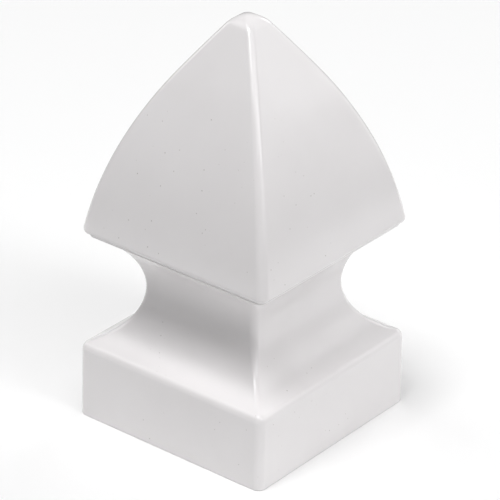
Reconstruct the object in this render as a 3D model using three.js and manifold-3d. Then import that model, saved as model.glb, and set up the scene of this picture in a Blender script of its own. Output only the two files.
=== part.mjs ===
// External Gothic cap for a square hollow fence post: two white PVC mouldings, cemented together.
// The base is an open skirt that slides over the post. Above it a hollow waisted neck flares out into
// a deck with an upstanding collar. The head is a hollow four-sided point. Its mouth drops over the
// collar, and its lip overhangs the deck and hides the joint. Nothing on the cap moves.
// Millimetres, +Z up. The origin is the centre of the skirt's bottom rim, with the faces square to
// X and Y. Every horizontal section is a square with rounded corners, so an outline is given as
// half-width against height.
import * as THREE from "three";
import { mergeVertices } from "three/addons/utils/BufferGeometryUtils.js";
import Module from "manifold-3d";

const { degToRad, lerp } = THREE.MathUtils;

// The post and the fit round it
const POST_HALF = 101.6 / 2; // a nominal 4 x 4 inch vinyl post
const POST_PLAY = 0.2; // each side, between the post and the crush ribs
const CRUSH_RIB_DEPTH = 0.5; // how far a crush rib stands in from the skirt's wall
const WALL = 3; // wall thickness of both mouldings
const SKIRT_HALF = POST_HALF + POST_PLAY + CRUSH_RIB_DEPTH + WALL;

// Skirt
const SKIRT_DRAFT = degToRad(0.45); // the sides lean in by the mould's draft
const SKIRT_CORNER_R = 4.1; // radius of the upright edges
const RIM_HEIGHT = 37.3; // where a side would meet the shoulder if the rim between them weren't rounded
const SHOULDER_SLOPE = degToRad(22.5);
const SHOULDER_CORNER_R = 1.7; // the rounded rim eats into the upright edges
const LEAD_IN = 1; // chamfer round the inside of the bottom rim

// Neck
const WAIST_HALF = 33.1;
const WAIST_HEIGHT = 66.2;
const UPPER_COVE_R = 30.6;
const NECK_CORNER_R = 3.6;
const FLANGE_HALF = 51.2; // the flare's thin upright edge, tucked under the head's lip

// Joint between the mouldings
const DECK_HEIGHT = 95.2; // the flat top of the flange, which the head lands on
const CEMENT_GAP = 0.3;
const MOUTH_HALF = 49.5; // inside the head's mouth
const COLLAR_RISE = 5;
const COLLAR_WALL = 2.5;
const COLLAR_LEAD_IN = 0.8;

// Head, with heights above the underside of its lip
const LIP_HALF = 54.1; // where a face would meet the lip's underside if the lip weren't rounded
const LIP_R = 2.5;
const FACE_LEAN = degToRad(9.7); // lean of a face at the lip
const LOWER_FACE_R = 205; // each face is two arcs, bowed outwards, the upper one flatter
const UPPER_FACE_R = 860;
const FACE_BREAK = 82; // height at which the lower arc runs into the upper one
const TIP_HALF = 8.1; // half-width at which the faces end and the rounded tip begins
const LIP_RIDGE_R = 4.6; // radius of the upright edges at the lip
const TIP_RIDGE_R = 3; // the same where the tip begins, kept over the tip until the section is round

// Stop ribs: eight webs under the shoulder that the post's end meets, each running down as a crush rib
const STOP_HEIGHT = 33;
const STOP_REACH = 43; // half-width of the square left open between the webs
const WEB_THICKNESS = 2.5;
const WEB_OFFSET = 25; // from the middle of a side
const WEB_FOOT = 4; // the crush rib's lower end above the bottom rim

// Fineness of the facets
const CORNER_STEPS = 4;
const COVE_STEPS = 10;
const RIM_STEPS = 5;
const LIP_STEPS = 4;
const LOWER_FACE_STEPS = 10;
const UPPER_FACE_STEPS = 4;
const TIP_STEPS = 4;
const INNER_CORNER_R = 1;

// ---- outlines ----

const point = (w, z) => new THREE.Vector2(w, z);
const polar = (centre, radius, angle) =>
  point(centre.x + radius * Math.cos(angle), centre.y + radius * Math.sin(angle));

// Points along an arc, both ends included. Angles start at +half-width and turn towards +height.
function arc(centre, radius, from, to, steps) {
  return Array.from({ length: steps + 1 }, (_, i) => polar(centre, radius, lerp(from, to, i / steps)));
}

// The angle at which a circle round centre crosses a half-width, on the side away from the axis.
const angleAtHalf = (centre, radius, half) => Math.acos((half - centre.x) / radius);

// The lower cove is tangent to the shoulder and upright at the waist, which settles its radius.
const rimCorner = point(SKIRT_HALF - RIM_HEIGHT * Math.tan(SKIRT_DRAFT), RIM_HEIGHT);
const LOWER_COVE_R =
  ((WAIST_HALF - rimCorner.x) * Math.sin(SHOULDER_SLOPE) +
    (WAIST_HEIGHT - rimCorner.y) * Math.cos(SHOULDER_SLOPE)) /
  (1 - Math.sin(SHOULDER_SLOPE));
const lowerCove = point(WAIST_HALF + LOWER_COVE_R, WAIST_HEIGHT);
const upperCove = point(WAIST_HALF + UPPER_COVE_R, WAIST_HEIGHT);
const SHOULDER_NORMAL = Math.PI / 2 - SHOULDER_SLOPE;
const coveStart = polar(lowerCove, LOWER_COVE_R, Math.PI + SHOULDER_NORMAL);

// The rim's rounding starts on the side and ends where the cove starts.
const rimTangent = rimCorner.distanceTo(coveStart);
const RIM_R = rimTangent / Math.tan((SHOULDER_NORMAL - SKIRT_DRAFT) / 2);
const rimCentre = polar(coveStart, RIM_R, SHOULDER_NORMAL + Math.PI);

// The skirt and neck's surface at a depth below the outside, from the bottom up to a half-width on the
// flare. The corner radius tightens over the rounded rim and opens again up to the waist.
function baseOutline(depth, flareHalf) {
  const cornerAt = (outer) => Math.max(outer - depth, INNER_CORNER_R);
  const rim = arc(rimCentre, RIM_R - depth, SKIRT_DRAFT, SHOULDER_NORMAL, RIM_STEPS);
  const rimInset = (p) => (rim[0].x - p.x) / (rim[0].x - rim.at(-1).x);
  const lower = arc(lowerCove, LOWER_COVE_R + depth, Math.PI + SHOULDER_NORMAL, Math.PI, COVE_STEPS);
  const flareAngle = angleAtHalf(upperCove, UPPER_COVE_R + depth, flareHalf);
  const upper = arc(upperCove, UPPER_COVE_R + depth, Math.PI, flareAngle, COVE_STEPS);
  return [
    { p: point(SKIRT_HALF - depth, 0), corner: cornerAt(SKIRT_CORNER_R) },
    ...rim.map((p) => ({ p, corner: cornerAt(lerp(SKIRT_CORNER_R, SHOULDER_CORNER_R, rimInset(p))) })),
    ...lower
      .map((p, i) => ({ p, corner: cornerAt(lerp(SHOULDER_CORNER_R, NECK_CORNER_R, i / COVE_STEPS)) }))
      .slice(1),
    ...upper.map((p) => ({ p, corner: cornerAt(NECK_CORNER_R) })).slice(1),
  ];
}

// Circles that make a face of the head and the rounded tip, each tangent to the one before.
const lipTangent = LIP_R * Math.tan((Math.PI / 2 + FACE_LEAN) / 2);
const lipCentre = point(LIP_HALF - lipTangent, LIP_R);
const faceFoot = polar(lipCentre, LIP_R, FACE_LEAN);
const lowerFace = polar(faceFoot, LOWER_FACE_R, FACE_LEAN + Math.PI);
const BREAK_ANGLE = Math.asin((FACE_BREAK - lowerFace.y) / LOWER_FACE_R);
const upperFace = polar(polar(lowerFace, LOWER_FACE_R, BREAK_ANGLE), UPPER_FACE_R, BREAK_ANGLE + Math.PI);
const TIP_ANGLE = angleAtHalf(upperFace, UPPER_FACE_R, TIP_HALF);
const TIP_R = TIP_HALF / Math.cos(TIP_ANGLE);
const faceTop = polar(upperFace, UPPER_FACE_R, TIP_ANGLE);
const tipCentre = polar(faceTop, TIP_R, TIP_ANGLE + Math.PI);

const ridgeAt = (p) => lerp(LIP_RIDGE_R, TIP_RIDGE_R, p.y / faceTop.y);

// The head's surface at a depth below the outside, from an angle on the lower arc up to the axis. Over
// the tip the corners keep their radius until they meet and the section is a circle.
function headOutline(depth, fromAngle, cornerOf) {
  const faces = [
    ...arc(lowerFace, LOWER_FACE_R - depth, fromAngle, BREAK_ANGLE, LOWER_FACE_STEPS),
    ...arc(upperFace, UPPER_FACE_R - depth, BREAK_ANGLE, TIP_ANGLE, UPPER_FACE_STEPS).slice(1),
  ];
  const tip = arc(tipCentre, TIP_R - depth, TIP_ANGLE, Math.PI / 2, TIP_STEPS).slice(1, -1);
  const tipCorner = cornerOf(faces.at(-1));
  return [
    ...faces.map((p) => ({ p, corner: cornerOf(p) })),
    ...tip.map((p) => ({ p, corner: Math.min(tipCorner, p.x) })),
    { p: point(0, tipCentre.y + TIP_R - depth), corner: 0 },
  ];
}

// ---- solids ----

// A square ring of points, anticlockwise from above, with rounded corners.
function squareRing({ p, corner }) {
  const ring = [];
  for (let quarter = 0; quarter < 4; quarter++) {
    const start = (quarter * Math.PI) / 2;
    const diagonal = start + Math.PI / 4;
    const centre = polar(point(0, 0), (p.x - corner) * Math.SQRT2, diagonal);
    for (const { x, y } of arc(centre, corner, start, start + Math.PI / 2, CORNER_STEPS)) {
      ring.push([x, y, p.y]);
    }
  }
  return ring;
}

// Sweeps the square section along an outline that goes up the outside of the solid. An outline that
// starts and ends on the axis closes in a point there; any other outline's end joins its start.
function sweepSquare(outline) {
  const positions = [];
  const rings = outline.map((station) => {
    const ring = station.p.x === 0 ? [[0, 0, station.p.y]] : squareRing(station);
    const first = positions.length;
    positions.push(...ring);
    return ring.map((_, i) => first + i);
  });
  if (outline[0].p.x > 0) {
    rings.push(rings[0]);
  }
  const triangles = [];
  for (let i = 1; i < rings.length; i++) {
    const [low, high] = [rings[i - 1], rings[i]];
    const around = Math.max(low.length, high.length);
    for (let j = 0; j < around; j++) {
      const next = (j + 1) % around;
      if (low.length > 1) {
        triangles.push(low[j], low[next], high[next % high.length]);
      }
      if (high.length > 1) {
        triangles.push(low[j % low.length], high[next], high[j]);
      }
    }
  }
  return new THREE.BufferGeometry()
    .setAttribute("position", new THREE.Float32BufferAttribute(positions.flat(), 3))
    .setIndex(triangles);
}

// One stop rib with its crush rib below, on the +X side, sunk halfway into the wall it stands on.
function ribGeometry() {
  const midWall = SKIRT_HALF - WALL / 2 - STOP_HEIGHT * Math.tan(SKIRT_DRAFT);
  const coveHeight = (half) =>
    lowerCove.y - Math.sqrt((LOWER_COVE_R + WALL / 2) ** 2 - (lowerCove.x - half) ** 2);
  const ribFace = POST_HALF + POST_PLAY;
  const underShoulder = lerp(STOP_REACH, midWall, 0.5);
  const outline = new THREE.Shape([
    point(midWall, WEB_FOOT),
    point(midWall, rimCentre.y),
    point(underShoulder, coveHeight(underShoulder)),
    point(STOP_REACH, coveHeight(STOP_REACH)),
    point(STOP_REACH, STOP_HEIGHT),
    point(ribFace, STOP_HEIGHT),
    point(ribFace, WEB_FOOT + LEAD_IN),
    point(ribFace + CRUSH_RIB_DEPTH, WEB_FOOT),
  ]);
  return new THREE.ExtrudeGeometry(outline, { depth: WEB_THICKNESS, bevelEnabled: false })
    .translate(0, 0, -WEB_THICKNESS / 2)
    .rotateX(Math.PI / 2);
}

const wasm = await Module();
wasm.setup();

function toSolid(geometry) {
  const bare = geometry.clone().deleteAttribute("normal").deleteAttribute("uv");
  const merged = mergeVertices(bare, 1e-4);
  return new wasm.Manifold(
    new wasm.Mesh({
      numProp: 3,
      vertProperties: merged.attributes.position.array,
      triVerts: new Uint32Array(merged.index.array),
    }),
  );
}

function fromSolid(solid) {
  const { vertProperties, triVerts } = solid.getMesh();
  const geometry = new THREE.BufferGeometry()
    .setAttribute("position", new THREE.BufferAttribute(vertProperties, 3))
    .setIndex(new THREE.BufferAttribute(triVerts, 1));
  geometry.computeVertexNormals();
  return geometry;
}

// ---- the two mouldings ----

const whitePvc = new THREE.MeshStandardMaterial({ color: 0xf3f1f0, roughness: 0.25, metalness: 0 });

function makeBase() {
  const collarOuter = MOUTH_HALF - CEMENT_GAP;
  const collarInner = collarOuter - COLLAR_WALL;
  const collarTop = DECK_HEIGHT + COLLAR_RISE;
  const outside = baseOutline(0, FLANGE_HALF);
  const inside = baseOutline(WALL, collarInner);
  const mouth = inside.shift();
  const deckAndCollar = [
    { p: point(FLANGE_HALF, DECK_HEIGHT), corner: NECK_CORNER_R },
    { p: point(collarOuter, DECK_HEIGHT), corner: INNER_CORNER_R },
    { p: point(collarOuter, collarTop - COLLAR_LEAD_IN), corner: INNER_CORNER_R },
    { p: point(collarOuter - COLLAR_LEAD_IN, collarTop), corner: INNER_CORNER_R },
    { p: point(collarInner, collarTop), corner: INNER_CORNER_R },
  ];
  const leadIn = [
    { p: point(mouth.p.x, LEAD_IN), corner: mouth.corner },
    { p: point(mouth.p.x + LEAD_IN, 0), corner: mouth.corner + LEAD_IN },
  ];
  const shell = sweepSquare([...outside, ...deckAndCollar, ...inside.reverse(), ...leadIn]);

  let solid = toSolid(shell);
  for (let side = 0; side < 4; side++) {
    for (const offset of [-WEB_OFFSET, WEB_OFFSET]) {
      const rib = ribGeometry()
        .translate(0, offset, 0)
        .rotateZ((side * Math.PI) / 2);
      solid = solid.add(toSolid(rib));
    }
  }
  const mesh = new THREE.Mesh(fromSolid(solid), whitePvc);
  mesh.name = "cove_base";
  return mesh;
}

function makeHead() {
  const mouthAngle = angleAtHalf(lowerFace, LOWER_FACE_R - WALL, MOUTH_HALF);
  const inside = headOutline(WALL, mouthAngle, () => INNER_CORNER_R).reverse();
  const outside = headOutline(0, FACE_LEAN, ridgeAt);
  const land = [{ p: point(MOUTH_HALF, 0), corner: INNER_CORNER_R }];
  const widest = lipCentre.x + LIP_R;
  const lip = arc(lipCentre, LIP_R, -Math.PI / 2, FACE_LEAN, LIP_STEPS)
    .slice(0, -1)
    .map((p) => ({ p, corner: LIP_RIDGE_R - (widest - p.x) }));
  const mesh = new THREE.Mesh(sweepSquare([...inside, ...land, ...lip, ...outside]), whitePvc);
  mesh.name = "gothic_head";
  mesh.position.z = DECK_HEIGHT + CEMENT_GAP;
  return mesh;
}

const cap = new THREE.Group();
cap.add(makeBase(), makeHead());

export default cap;
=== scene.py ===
"""A white PVC Gothic cap for a square hollow fence post, in a soft white studio.

Metres, +Z up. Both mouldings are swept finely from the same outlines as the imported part: every
horizontal section is a square with rounded corners, so an outline is half-width against height.
"""

import math

import bmesh
import bpy
from mathutils import Matrix, Vector


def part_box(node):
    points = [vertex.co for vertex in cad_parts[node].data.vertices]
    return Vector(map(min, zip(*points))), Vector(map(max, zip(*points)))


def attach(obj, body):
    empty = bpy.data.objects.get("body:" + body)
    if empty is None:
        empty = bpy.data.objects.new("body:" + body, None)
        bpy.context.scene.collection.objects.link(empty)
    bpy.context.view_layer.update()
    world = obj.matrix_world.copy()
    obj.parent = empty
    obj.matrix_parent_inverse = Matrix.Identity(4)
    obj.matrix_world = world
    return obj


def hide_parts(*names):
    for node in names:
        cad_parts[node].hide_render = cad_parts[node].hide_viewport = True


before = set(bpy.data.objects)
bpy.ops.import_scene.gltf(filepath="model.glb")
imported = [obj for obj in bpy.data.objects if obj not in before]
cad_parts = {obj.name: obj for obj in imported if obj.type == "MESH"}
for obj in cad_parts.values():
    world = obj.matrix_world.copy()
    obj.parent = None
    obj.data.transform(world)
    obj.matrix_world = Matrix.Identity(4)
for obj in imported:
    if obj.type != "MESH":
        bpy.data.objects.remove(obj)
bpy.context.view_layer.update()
base_low, base_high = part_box("cove_base")
head_low, head_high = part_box("gothic_head")

MM = 0.001

# Skirt and neck
WALL = 3 * MM
SKIRT_HALF = base_high.x
SKIRT_DRAFT = math.radians(0.45)
SKIRT_CORNER_R = 4.1 * MM
RIM_HEIGHT = 37.3 * MM  # where a side would meet the shoulder if the rim weren't rounded
SHOULDER_SLOPE = math.radians(22.5)
SHOULDER_CORNER_R = 1.7 * MM
FOOT_R = 0.5 * MM  # the bottom rim's outer edge
LEAD_IN = 1 * MM
WAIST_HALF = 33.1 * MM
WAIST_HEIGHT = 66.2 * MM
UPPER_COVE_R = 30.6 * MM
NECK_CORNER_R = 3.6 * MM
INNER_CORNER_R = 1 * MM

# Joint between the mouldings
CEMENT_GAP = 0.3 * MM
FLANGE_HALF = 51.2 * MM
FLANGE_EDGE_R = 0.25 * MM
DECK_HEIGHT = head_low.z - CEMENT_GAP
MOUTH_HALF = 49.5 * MM
COLLAR_WALL = 2.5 * MM
COLLAR_TOP = base_high.z
COLLAR_LEAD_IN = 0.8 * MM

# Head
LIP_HEIGHT = head_low.z
LIP_HALF = 54.1 * MM
LIP_R = 2.5 * MM
FACE_LEAN = math.radians(9.7)
LOWER_FACE_R = 205 * MM
UPPER_FACE_R = 860 * MM
FACE_BREAK = LIP_HEIGHT + 82 * MM
TIP_HALF = 8.1 * MM
LIP_RIDGE_R = 4.6 * MM  # radius of the upright edges at the lip
TIP_RIDGE_R = 3 * MM  # the same at the tip's start, kept over the tip until the section is round

# Stop webs under the shoulder, running down as crush ribs
STOP_HEIGHT = 33 * MM
STOP_REACH = 43 * MM
RIB_FACE = 51 * MM
WEB_THICKNESS = 2.5 * MM
WEB_OFFSET = 25 * MM
WEB_FOOT = 4 * MM

# Facets of each arc
CORNER_STEPS = 12
COVE_STEPS = 40
RIM_STEPS = 16
LIP_STEPS = 12
FACE_STEPS = 48
TIP_STEPS = 16
EDGE_STEPS = 4
SHARP_ANGLE = math.radians(25)
FULL_WEIGHT = 100  # the large faces alone set the normals, so that the flat sides stay flat


# ---- outlines: lists of (half-width, height, corner radius) ----


def polar(centre, radius, angle):
    return Vector((centre.x + radius * math.cos(angle), centre.y + radius * math.sin(angle)))


def mix(a, b, t):
    return a + (b - a) * t


def arc(centre, radius, start, end, steps):
    return [polar(centre, radius, mix(start, end, i / steps)) for i in range(steps + 1)]


def angle_at_half(centre, radius, half):
    return math.acos((half - centre.x) / radius)


# The lower cove stands upright at the waist and ends along the shoulder's slope, a line through the
# rim's unrounded corner. The rim's rounding is tangent to that line and to the skirt's side.
RIM_CORNER = Vector((SKIRT_HALF - RIM_HEIGHT * math.tan(SKIRT_DRAFT), RIM_HEIGHT))
LOWER_COVE_R = (
    (WAIST_HALF - RIM_CORNER.x) * math.sin(SHOULDER_SLOPE)
    + (WAIST_HEIGHT - RIM_CORNER.y) * math.cos(SHOULDER_SLOPE)
) / (1 - math.sin(SHOULDER_SLOPE))
LOWER_COVE = Vector((WAIST_HALF + LOWER_COVE_R, WAIST_HEIGHT))
UPPER_COVE = Vector((WAIST_HALF + UPPER_COVE_R, WAIST_HEIGHT))
SHOULDER_NORMAL = math.pi / 2 - SHOULDER_SLOPE
COVE_START = polar(LOWER_COVE, LOWER_COVE_R, math.pi + SHOULDER_NORMAL)
RIM_R = (COVE_START - RIM_CORNER).length / math.tan((SHOULDER_NORMAL - SKIRT_DRAFT) / 2)
RIM_CENTRE = polar(COVE_START, RIM_R, SHOULDER_NORMAL + math.pi)


def base_outline(depth, flare_half):
    """The skirt and neck's surface at a depth below the outside.

    It runs from the shoulder's rounded rim up to a half-width on the flare. The corner radius
    tightens over the rim and opens again up to the waist.
    """

    def corner(outer):
        return max(outer - depth, INNER_CORNER_R)

    flare_angle = angle_at_half(UPPER_COVE, UPPER_COVE_R + depth, flare_half)
    rim = arc(RIM_CENTRE, RIM_R - depth, SKIRT_DRAFT, SHOULDER_NORMAL, RIM_STEPS)
    lower = arc(LOWER_COVE, LOWER_COVE_R + depth, math.pi + SHOULDER_NORMAL, math.pi, COVE_STEPS)
    upper = arc(UPPER_COVE, UPPER_COVE_R + depth, math.pi, flare_angle, COVE_STEPS)
    outline = []
    for p in rim:
        inset = (rim[0].x - p.x) / (rim[0].x - rim[-1].x)
        outline.append((p.x, p.y, corner(mix(SKIRT_CORNER_R, SHOULDER_CORNER_R, inset))))
    for i, p in enumerate(lower[1:], start=1):
        outline.append((p.x, p.y, corner(mix(SHOULDER_CORNER_R, NECK_CORNER_R, i / COVE_STEPS))))
    for p in upper[1:]:
        outline.append((p.x, p.y, corner(NECK_CORNER_R)))
    return outline


# The lip's rounding, the two arcs of a face and the tip's rounding, each tangent to the next
LIP_INSET = LIP_R * math.tan((math.pi / 2 + FACE_LEAN) / 2)
LIP_CENTRE = Vector((LIP_HALF - LIP_INSET, LIP_HEIGHT + LIP_R))
LOWER_FACE = polar(polar(LIP_CENTRE, LIP_R, FACE_LEAN), LOWER_FACE_R, FACE_LEAN + math.pi)
BREAK_ANGLE = math.asin((FACE_BREAK - LOWER_FACE.y) / LOWER_FACE_R)
BREAK_POINT = polar(LOWER_FACE, LOWER_FACE_R, BREAK_ANGLE)
UPPER_FACE = polar(BREAK_POINT, UPPER_FACE_R, BREAK_ANGLE + math.pi)
TIP_ANGLE = angle_at_half(UPPER_FACE, UPPER_FACE_R, TIP_HALF)
TIP_R = TIP_HALF / math.cos(TIP_ANGLE)
FACE_TOP = polar(UPPER_FACE, UPPER_FACE_R, TIP_ANGLE)
TIP_CENTRE = polar(FACE_TOP, TIP_R, TIP_ANGLE + math.pi)


def ridge_radius(height):
    return mix(LIP_RIDGE_R, TIP_RIDGE_R, (height - LIP_HEIGHT) / (FACE_TOP.y - LIP_HEIGHT))


def head_outline(depth, start, corner_at):
    """The head's surface at a depth below the outside, from an angle on the lower arc to the axis.

    corner_at gives the corner radius at a height.
    """
    lower = arc(LOWER_FACE, LOWER_FACE_R - depth, start, BREAK_ANGLE, FACE_STEPS)
    upper = arc(UPPER_FACE, UPPER_FACE_R - depth, BREAK_ANGLE, TIP_ANGLE, FACE_STEPS // 2)
    tip = arc(TIP_CENTRE, TIP_R - depth, TIP_ANGLE, math.pi / 2, TIP_STEPS)[1:-1]
    outline = [(p.x, p.y, corner_at(p.y)) for p in lower + upper[1:]]
    tip_corner = outline[-1][2]
    outline += [(p.x, p.y, min(tip_corner, p.x)) for p in tip]
    return outline + [(0, TIP_CENTRE.y + TIP_R - depth, 0)]


# ---- meshes ----


def add_object(name, data):
    made = bpy.data.objects.new(name, data)
    bpy.context.scene.collection.objects.link(made)
    return made


def square_ring(half, height, corner):
    """Points round a square with rounded corners, anticlockwise from above."""
    ring = []
    for quarter in range(4):
        start = quarter * math.pi / 2
        centre = polar(Vector((0, 0)), (half - corner) * math.sqrt(2), start + math.pi / 4)
        for p in arc(centre, corner, start, start + math.pi / 2, CORNER_STEPS):
            ring.append((p.x, p.y, height))
    return ring


def sweep_square(name, outline):
    """A mesh swept along an outline. It closes in a point at the axis, or else end to start."""
    bm = bmesh.new()
    rings = []
    for half, height, corner in outline:
        points = square_ring(half, height, corner) if half > 0 else [(0, 0, height)]
        rings.append([bm.verts.new(p) for p in points])
    if outline[0][0] > 0:
        rings.append(rings[0])
    for low, high in zip(rings, rings[1:]):
        around = max(len(low), len(high))
        for j in range(around):
            k = (j + 1) % around
            below = [low[j % len(low)], low[k % len(low)]]
            above = [high[k % len(high)], high[j % len(high)]]
            bm.faces.new(list(dict.fromkeys(below + above)))
    mesh = bpy.data.meshes.new(name)
    bm.to_mesh(mesh)
    bm.free()
    return add_object(name, mesh)


def rib_mesh():
    """All eight stop webs with their crush ribs, each sunk halfway into the wall behind it."""
    mid_wall = SKIRT_HALF - WALL / 2 - STOP_HEIGHT * math.tan(SKIRT_DRAFT)

    def cove_height(half):
        return LOWER_COVE.y - math.sqrt((LOWER_COVE_R + WALL / 2) ** 2 - (LOWER_COVE.x - half) ** 2)

    under_shoulder = mix(STOP_REACH, mid_wall, 0.5)
    outline = [
        (mid_wall, WEB_FOOT),
        (mid_wall, RIM_CENTRE.y),
        (under_shoulder, cove_height(under_shoulder)),
        (STOP_REACH, cove_height(STOP_REACH)),
        (STOP_REACH, STOP_HEIGHT),
        (RIB_FACE, STOP_HEIGHT),
        (RIB_FACE, WEB_FOOT + LEAD_IN),
        (RIB_FACE + LEAD_IN / 2, WEB_FOOT),
    ]
    bm = bmesh.new()
    for side in range(4):
        turn = Matrix.Rotation(side * math.pi / 2, 3, "Z")
        for offset in (-WEB_OFFSET, WEB_OFFSET):
            ends = [
                [bm.verts.new(turn @ Vector((w, offset + across, z))) for w, z in outline]
                for across in (-WEB_THICKNESS / 2, WEB_THICKNESS / 2)
            ]
            bm.faces.new(ends[0])
            bm.faces.new(ends[1][::-1])
            for i in range(len(outline)):
                j = (i + 1) % len(outline)
                bm.faces.new([ends[0][j], ends[0][i], ends[1][i], ends[1][j]])
    bmesh.ops.recalc_face_normals(bm, faces=bm.faces)
    mesh = bpy.data.meshes.new("ribs")
    bm.to_mesh(mesh)
    bm.free()
    return mesh


def join_solid(piece, mesh):
    """Joins a closed mesh into a piece with a boolean, and leaves one body."""
    tool = add_object("tool", mesh)
    union = piece.modifiers.new("union", "BOOLEAN")
    union.operation = "UNION"
    union.solver = "EXACT"
    union.object = tool
    joined = piece.evaluated_get(bpy.context.evaluated_depsgraph_get())
    piece.data = bpy.data.meshes.new_from_object(joined)
    piece.modifiers.clear()
    bpy.data.objects.remove(tool)


def smooth(piece):
    """Smooth shading that leaves flat faces flat and real edges sharp."""
    bm = bmesh.new()
    bm.from_mesh(piece.data)
    for face in bm.faces:
        face.smooth = True
    for edge in bm.edges:
        edge.smooth = edge.calc_face_angle(0) < SHARP_ANGLE
    bm.to_mesh(piece.data)
    bm.free()
    weighted = piece.modifiers.new("weighted_normals", "WEIGHTED_NORMAL")
    weighted.weight = FULL_WEIGHT
    weighted.keep_sharp = True


def make_base():
    collar_outer = MOUTH_HALF - CEMENT_GAP
    collar_inner = collar_outer - COLLAR_WALL
    foot = arc(Vector((SKIRT_HALF - FOOT_R, FOOT_R)), FOOT_R, -math.pi / 2, SKIRT_DRAFT, EDGE_STEPS)
    edge = arc(
        Vector((FLANGE_HALF - FLANGE_EDGE_R, DECK_HEIGHT - FLANGE_EDGE_R)),
        FLANGE_EDGE_R,
        0,
        math.pi / 2,
        EDGE_STEPS,
    )
    inside = base_outline(WALL, collar_inner)[::-1]
    mouth_half = SKIRT_HALF - WALL
    outline = [(p.x, p.y, SKIRT_CORNER_R) for p in foot]
    outline += base_outline(0, FLANGE_HALF)
    outline += [(p.x, p.y, NECK_CORNER_R) for p in edge]
    outline += [
        (collar_outer, DECK_HEIGHT, INNER_CORNER_R),
        (collar_outer, COLLAR_TOP - COLLAR_LEAD_IN, INNER_CORNER_R),
        (collar_outer - COLLAR_LEAD_IN, COLLAR_TOP, INNER_CORNER_R),
        (collar_inner, COLLAR_TOP, INNER_CORNER_R),
    ]
    outline += inside
    outline += [
        (mouth_half, LEAD_IN, INNER_CORNER_R),
        (mouth_half + LEAD_IN, 0, INNER_CORNER_R + LEAD_IN),
    ]
    piece = sweep_square("base_moulding", outline)
    join_solid(piece, rib_mesh())
    smooth(piece)
    return piece


def make_head():
    mouth_angle = angle_at_half(LOWER_FACE, LOWER_FACE_R - WALL, MOUTH_HALF)
    outline = head_outline(WALL, mouth_angle, lambda height: INNER_CORNER_R)[::-1]
    outline.append((MOUTH_HALF, LIP_HEIGHT, INNER_CORNER_R))
    lip = arc(LIP_CENTRE, LIP_R, -math.pi / 2, FACE_LEAN, LIP_STEPS)[:-1]
    widest = LIP_CENTRE.x + LIP_R
    outline += [(p.x, p.y, LIP_RIDGE_R - (widest - p.x)) for p in lip]
    outline += head_outline(0, FACE_LEAN, ridge_radius)
    piece = sweep_square("head_moulding", outline)
    smooth(piece)
    return piece


# ---- material ----

PVC_IOR = 1.53

# Colour
WHITE = (0.88, 0.86, 0.865, 1)
SHADE = (0.84, 0.818, 0.822, 1)
SPECK = (0.42, 0.4, 0.38, 1)
TONE_SIZE = 45 * MM
TONE_SEED = 30

# Roughness
GLOSSY = 0.14
HAZY = 0.24
HAZE_SIZE = 16 * MM
HAZE_SEED = 40
SCRATCH_ROUGHNESS = 0.12  # added to the haze, as is the next
SPECK_ROUGHNESS = 0.5

# Relief
WARP_SIZE = 30 * MM  # the slow unevenness of a moulded wall
WARP_DEPTH = 0.12 * MM
WARP_SEED = 50
SKIN_SIZE = 0.9 * MM  # the mould's fine orange peel
SKIN_DEPTH = 0.008 * MM
SKIN_SEED = 60
SCRATCH_WIDTH = 0.35 * MM
SCRATCH_LENGTH = 25 * MM
SCRATCH_DEPTH = 0.012 * MM
SCRATCH_TURNS = ((35, 20, 10), (-50, 15, 70))  # degrees
SCRATCH_PATCH_SEED = 10

# Dust
SPECK_SPACING = 4.2 * MM
SPECK_R = 0.38 * MM
SPECK_CORE = 0.4  # the part of the radius that is fully dark
CLUSTER_SIZE = 50 * MM
CLUSTER_SEED = 42

# Where a pattern begins and is full, in values of the noise that it is cut from
EVEN_RANGE = (0.3, 0.7)
SCRATCH_RANGE = (0.78, 0.84)
SCRATCH_PATCH_RANGE = (0.5, 0.62)
CLUSTER_RANGE = (0.5, 0.58)


def feed(tree, socket, value):
    """Gives an input a constant, or links another node's output to it."""
    if isinstance(value, bpy.types.NodeSocket):
        tree.links.new(value, socket)
    else:
        socket.default_value = value


def add_node(tree, kind, inputs=None, **settings):
    made = tree.nodes.new(kind)
    for name, value in settings.items():
        setattr(made, name, value)
    for name, value in (inputs or {}).items():
        feed(tree, made.inputs[name], value)
    return made


def noise(tree, coordinates, size, seed, detail=2):
    """Noise from 0 to 1 with lumps of about the given size."""
    inputs = {"Vector": coordinates, "W": seed, "Scale": 1 / size, "Detail": detail}
    return add_node(tree, "ShaderNodeTexNoise", inputs, noise_dimensions="4D").outputs["Fac"]


def spread(tree, value, limits, start=0, end=1):
    """Maps the first limit to start and the second to end, and holds those values outside."""
    low, high = limits
    inputs = {"Value": value, "From Min": low, "From Max": high, "To Min": start, "To Max": end}
    return add_node(tree, "ShaderNodeMapRange", inputs).outputs["Result"]


def arithmetic(tree, operation, a, b):
    made = add_node(tree, "ShaderNodeMath", operation=operation)
    for socket, value in zip(made.inputs, (a, b)):
        feed(tree, socket, value)
    return made.outputs["Value"]


def blend_colour(tree, factor, first, second):
    """The first colour, or the second where the factor is 1."""
    made = add_node(tree, "ShaderNodeMix", {"Factor": factor}, data_type="RGBA")
    colours = [socket for socket in made.inputs if socket.type == "RGBA"]
    for socket, value in zip(colours, (first, second)):
        feed(tree, socket, value)
    return next(socket for socket in made.outputs if socket.type == "RGBA")


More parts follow.
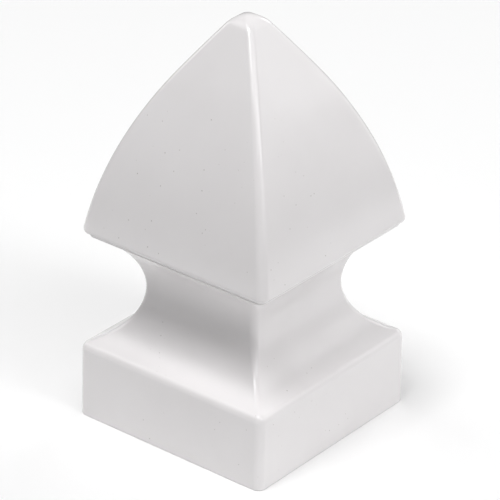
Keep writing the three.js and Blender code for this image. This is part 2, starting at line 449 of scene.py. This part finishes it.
def scratches(tree, coordinates):
    """Fine straight rub marks in two directions, broken into patches."""
    marks = 0
    for seed, turn in enumerate(SCRATCH_TURNS):
        inputs = {
            "Vector": coordinates,
            "Rotation": [math.radians(angle) for angle in turn],
            "Scale": (1, 1, SCRATCH_WIDTH / SCRATCH_LENGTH),
        }
        stretched = add_node(tree, "ShaderNodeMapping", inputs).outputs["Vector"]
        fine = noise(tree, stretched, SCRATCH_WIDTH, seed, detail=0)
        broad = noise(tree, coordinates, SCRATCH_LENGTH, seed + SCRATCH_PATCH_SEED)
        streaks = spread(tree, fine, SCRATCH_RANGE)
        patches = spread(tree, broad, SCRATCH_PATCH_RANGE)
        marks = arithmetic(tree, "ADD", marks, arithmetic(tree, "MULTIPLY", streaks, patches))
    return marks


def specks(tree, coordinates):
    """Dust specks in loose clusters: small balls in space, seen where the surface cuts one."""
    inputs = {"Vector": coordinates, "Scale": 1 / SPECK_SPACING}
    scattered = add_node(tree, "ShaderNodeTexVoronoi", inputs).outputs["Distance"]
    edge = SPECK_R / SPECK_SPACING
    spots = spread(tree, scattered, (SPECK_CORE * edge, edge), start=1, end=0)
    clusters = spread(tree, noise(tree, coordinates, CLUSTER_SIZE, CLUSTER_SEED), CLUSTER_RANGE)
    return arithmetic(tree, "MULTIPLY", spots, clusters)


def white_pvc():
    """Glossy white PVC: two close whites, uneven gloss, mould skin, rub marks and dust specks."""
    material = bpy.data.materials.new("white_pvc")
    material.use_nodes = True
    tree = material.node_tree
    coordinates = add_node(tree, "ShaderNodeTexCoord").outputs["Object"]
    dust = specks(tree, coordinates)
    rubbed = scratches(tree, coordinates)

    tone = spread(tree, noise(tree, coordinates, TONE_SIZE, TONE_SEED, detail=4), EVEN_RANGE)
    white = blend_colour(tree, tone, WHITE, SHADE)
    colour = blend_colour(tree, dust, white, SPECK)

    haze = noise(tree, coordinates, HAZE_SIZE, HAZE_SEED, detail=5)
    gloss = spread(tree, haze, EVEN_RANGE, GLOSSY, HAZY)
    gloss = arithmetic(tree, "ADD", gloss, arithmetic(tree, "MULTIPLY", rubbed, SCRATCH_ROUGHNESS))
    gloss = arithmetic(tree, "ADD", gloss, arithmetic(tree, "MULTIPLY", dust, SPECK_ROUGHNESS))

    normal = None
    for height, depth in (
        (noise(tree, coordinates, WARP_SIZE, WARP_SEED, detail=1), WARP_DEPTH),
        (noise(tree, coordinates, SKIN_SIZE, SKIN_SEED), SKIN_DEPTH),
        (rubbed, -SCRATCH_DEPTH),
    ):
        inputs = {"Height": height, "Distance": abs(depth)}
        bump = add_node(tree, "ShaderNodeBump", inputs, invert=depth < 0)
        if normal:
            tree.links.new(normal, bump.inputs["Normal"])
        normal = bump.outputs["Normal"]

    shader = tree.nodes["Principled BSDF"]
    shader.inputs["IOR"].default_value = PVC_IOR
    tree.links.new(colour, shader.inputs["Base Color"])
    tree.links.new(gloss, shader.inputs["Roughness"])
    tree.links.new(normal, shader.inputs["Normal"])
    return material


# ---- studio ----

AIM = Vector((0, 0, 83.48 * MM))
CAMERA_AZIMUTH = math.radians(38.52)
CAMERA_ELEVATION = math.radians(28.42)
CAMERA_ROLL = math.radians(1.005)
CAMERA_DISTANCE = 1.588
CAMERA_SIDESTEP = 2.45 * MM
CAMERA_LENS = 248.65  # millimetres, as Blender's cameras have it


def direction(azimuth, elevation):
    """The unit vector towards a place round the object. Azimuth 0 is in front, on the -Y side."""
    return Vector(
        (
            math.sin(azimuth) * math.cos(elevation),
            -math.cos(azimuth) * math.cos(elevation),
            math.sin(elevation),
        )
    )


def make_camera():
    back = direction(CAMERA_AZIMUTH, CAMERA_ELEVATION)
    right = Vector((math.cos(CAMERA_AZIMUTH), math.sin(CAMERA_AZIMUTH), 0))
    up = back.cross(right)
    x_axis = right * math.cos(CAMERA_ROLL) + up * math.sin(CAMERA_ROLL)
    y_axis = back.cross(x_axis)
    data = bpy.data.cameras.new("camera")
    data.lens = CAMERA_LENS
    camera = add_object("camera", data)
    place = AIM + right * CAMERA_SIDESTEP + back * CAMERA_DISTANCE
    turn = Matrix((x_axis, y_axis, back)).transposed()
    camera.matrix_world = Matrix.Translation(place) @ turn.to_4x4()
    bpy.context.scene.camera = camera


LIGHT_DISTANCE = 3.0
BOX = 1.2  # a softbox's side
STRIP = 0.7  # the width of a narrow one

# Soft light all round: azimuth and elevation in degrees, width and power in watts of each softbox
SOFTBOXES = {
    "front_top": (0, 70, BOX, 44.9),
    "back": (180, 25, BOX, 20.4),
    "back_right": (150, 25, BOX, 6.6),
    "back_right_low": (150, 8, BOX, 11.4),
    "right": (90, 25, STRIP, 9.7),
    "right_high": (90, 45, STRIP, 14.4),
    "right_front": (60, 55, BOX, 13.2),
    "left": (270, 25, BOX, 13.9),
    "left_front": (300, 55, BOX, 6.5),
    "left_top": (300, 70, BOX, 11.7),
}
FLOOR_SIDE = 1.0
FLOOR_ROUGHNESS = 0.9
PALE = (0.95, 0.95, 0.95, 1)  # the floor, and the backdrop beyond it


def make_lights():
    for name, (azimuth, elevation, width, power) in SOFTBOXES.items():
        data = bpy.data.lights.new(name, "AREA")
        data.shape = "RECTANGLE"
        data.size = width
        data.size_y = BOX
        data.energy = power
        light = add_object(name, data)
        towards = direction(math.radians(azimuth), math.radians(elevation))
        light.location = AIM + towards * LIGHT_DISTANCE
        light.rotation_mode = "QUATERNION"
        light.rotation_quaternion = towards.to_track_quat("Z", "Y")


def make_backdrop():
    """A pale world that only the camera sees, so it gives no light and isn't reflected."""
    world = bpy.data.worlds.new("studio")
    bpy.context.scene.world = world
    world.use_nodes = True
    world.node_tree.nodes["Background"].inputs["Color"].default_value = PALE
    for rays in ("diffuse", "glossy", "transmission"):
        setattr(world.cycles_visibility, rays, False)


def make_floor():
    mesh = bpy.data.meshes.new("floor")
    half = FLOOR_SIDE / 2
    corners = [(-half, -half, 0), (half, -half, 0), (half, half, 0), (-half, half, 0)]
    mesh.from_pydata(corners, [], [(0, 1, 2, 3)])
    material = bpy.data.materials.new("floor")
    material.use_nodes = True
    shader = material.node_tree.nodes["Principled BSDF"]
    shader.inputs["Base Color"].default_value = PALE
    shader.inputs["Roughness"].default_value = FLOOR_ROUGHNESS
    mesh.materials.append(material)
    add_object("floor", mesh)


# ---- scene ----

make_camera()
make_lights()
make_backdrop()
make_floor()
pvc = white_pvc()
for piece, node in ((make_base(), "cove_base"), (make_head(), "gothic_head")):
    piece.data.materials.clear()
    piece.data.materials.append(pvc)
    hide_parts(node)
    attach(piece, "root")

view = bpy.context.scene.view_settings
view.view_transform = "Standard"
view.look = "None"
